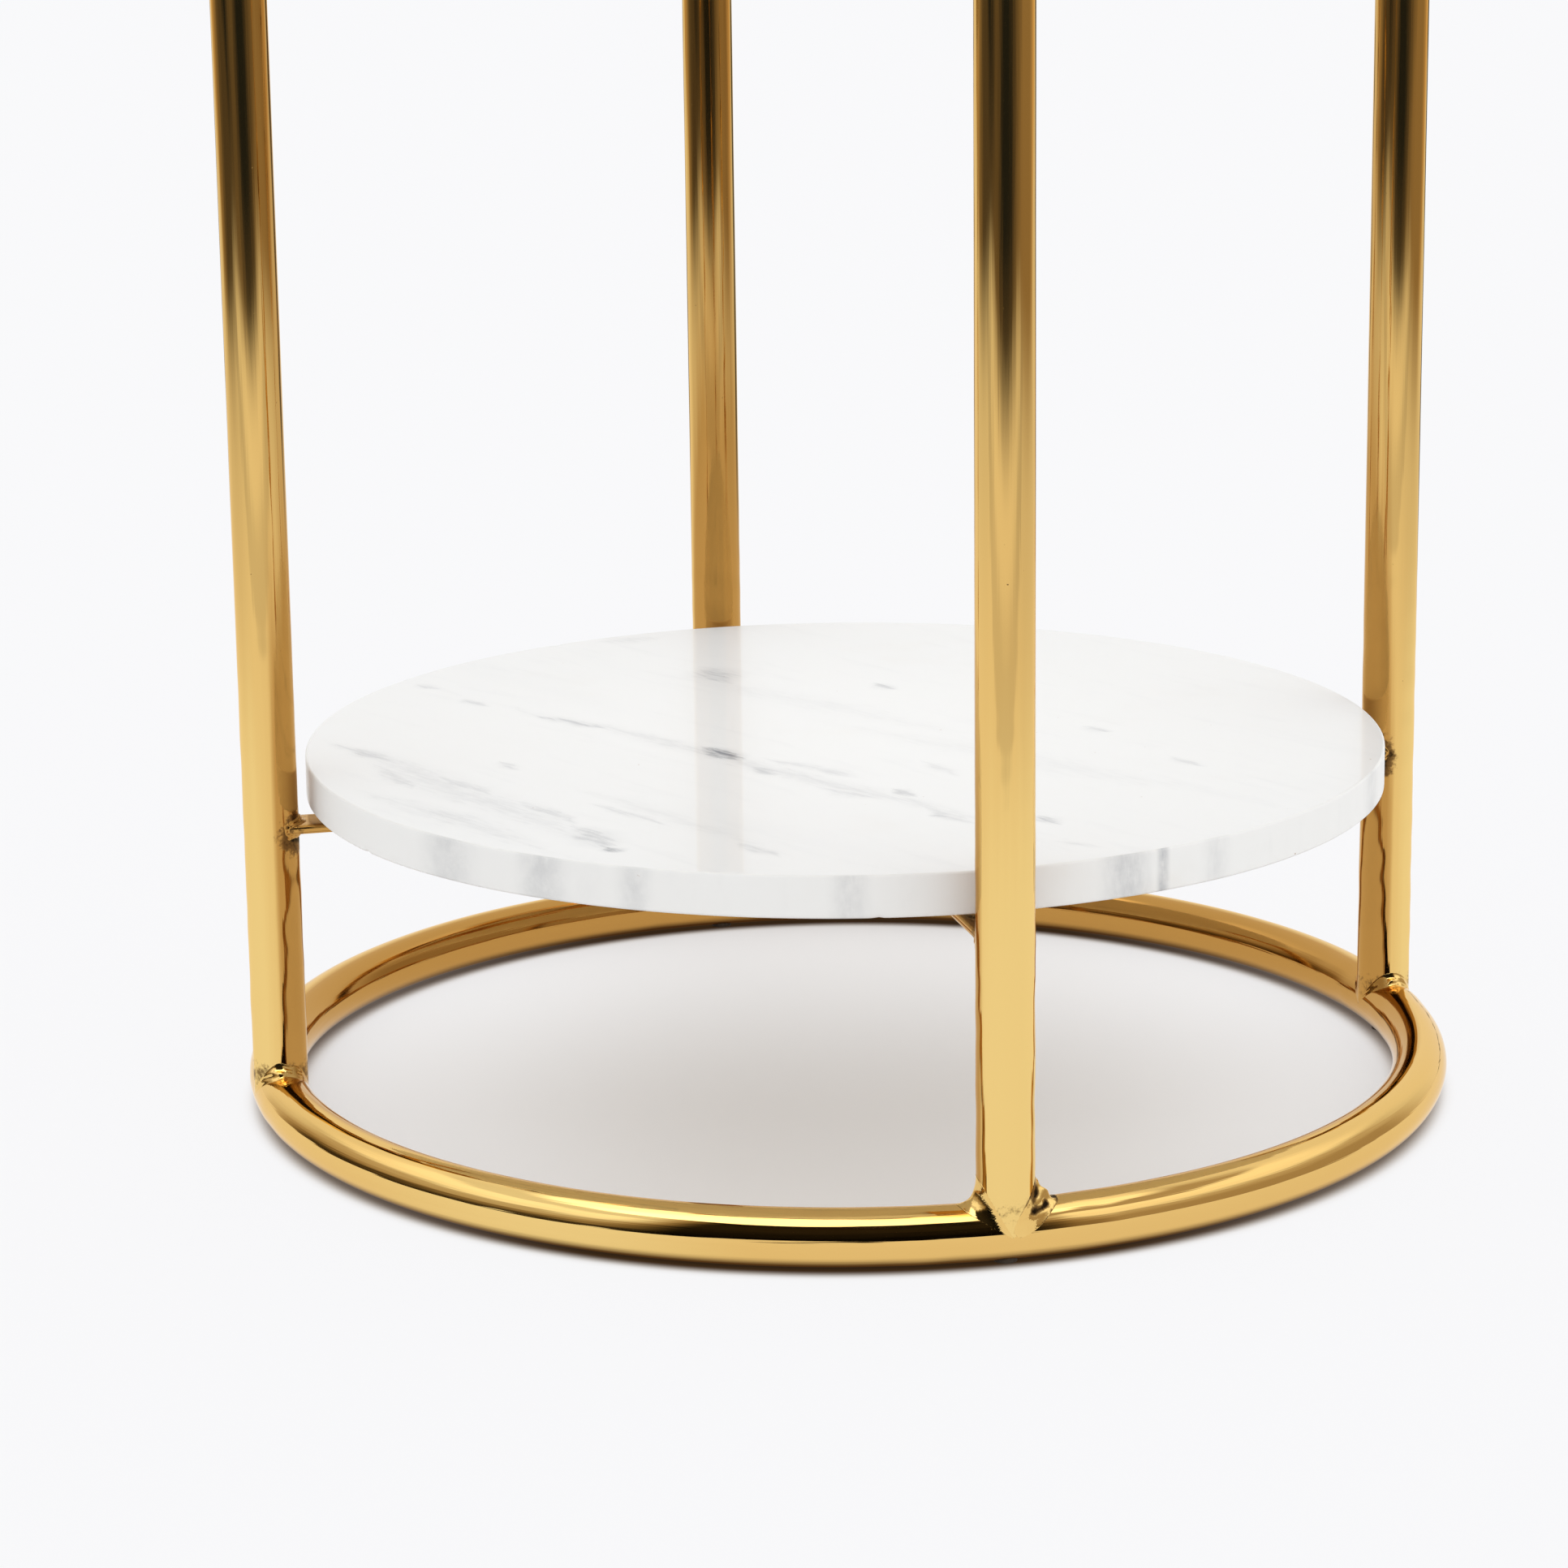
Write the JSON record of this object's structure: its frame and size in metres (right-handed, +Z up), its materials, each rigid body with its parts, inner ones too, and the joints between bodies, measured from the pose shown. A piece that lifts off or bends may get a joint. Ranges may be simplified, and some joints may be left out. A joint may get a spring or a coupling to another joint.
{
  "type": "tiered side table",
  "caption": "Round side table: a welded frame of polished tube rings and straight legs carries a loose stone shelf on lugs and a loose stone top.",
  "frame": {"origin": "on the floor, at the centre of the base ring", "axes": "+Z up along the table's axis; -Y is the front, midway between two legs; +X is to the right"},
  "size_m": [0.4499, 0.45, 0.55],
  "materials": {
    "gold_tube": "polished",
    "gold_strip": "polished",
    "gold_weld": "satin",
    "shelf_stone": "polished",
    "top_stone": "polished",
    "clear_bumper": "gloss",
    "felt": "matte"
  },
  "bodies": {
    "frame": {"base_ring": "gold_tube", "top_ring": "gold_tube", "leg_back_right": "gold_tube", "leg_back_left": "gold_tube", "leg_front_left": "gold_tube", "leg_front_right": "gold_tube", "lug_back_right": "gold_strip", "lug_back_left": "gold_strip", "lug_front_left": "gold_strip", "lug_front_right": "gold_strip", "base_weld_back_right": "gold_weld", "base_weld_back_left": "gold_weld", "base_weld_front_left": "gold_weld", "base_weld_front_right": "gold_weld", "top_weld_back_right": "gold_weld", "top_weld_back_left": "gold_weld", "top_weld_front_left": "gold_weld", "top_weld_front_right": "gold_weld", "lug_weld_back_right": "gold_weld", "lug_weld_back_left": "gold_weld", "lug_weld_front_left": "gold_weld", "lug_weld_front_right": "gold_weld", "shelf_bumper_back_right": "clear_bumper", "shelf_bumper_back_left": "clear_bumper", "shelf_bumper_front_left": "clear_bumper", "shelf_bumper_front_right": "clear_bumper", "top_pad_back_right": "clear_bumper", "top_pad_back_left": "clear_bumper", "top_pad_front_left": "clear_bumper", "top_pad_front_right": "clear_bumper", "floor_glide_back_right": "felt", "floor_glide_back_left": "felt", "floor_glide_front_left": "felt", "floor_glide_front_right": "felt"},
    "lower_slab": {"shelf_slab": "shelf_stone"},
    "upper_slab": {"top_slab": "top_stone"}
  },
  "joints": [
    {"name": "shelf_lift", "type": "slide", "parent": "frame", "child": "lower_slab", "axis": [0, 0, 1], "range_m": [0, 0.37]},
    {"name": "top_lift", "type": "slide", "parent": "frame", "child": "upper_slab", "axis": [0, 0, 1], "range_m": [0, 0.1]}
  ]
}
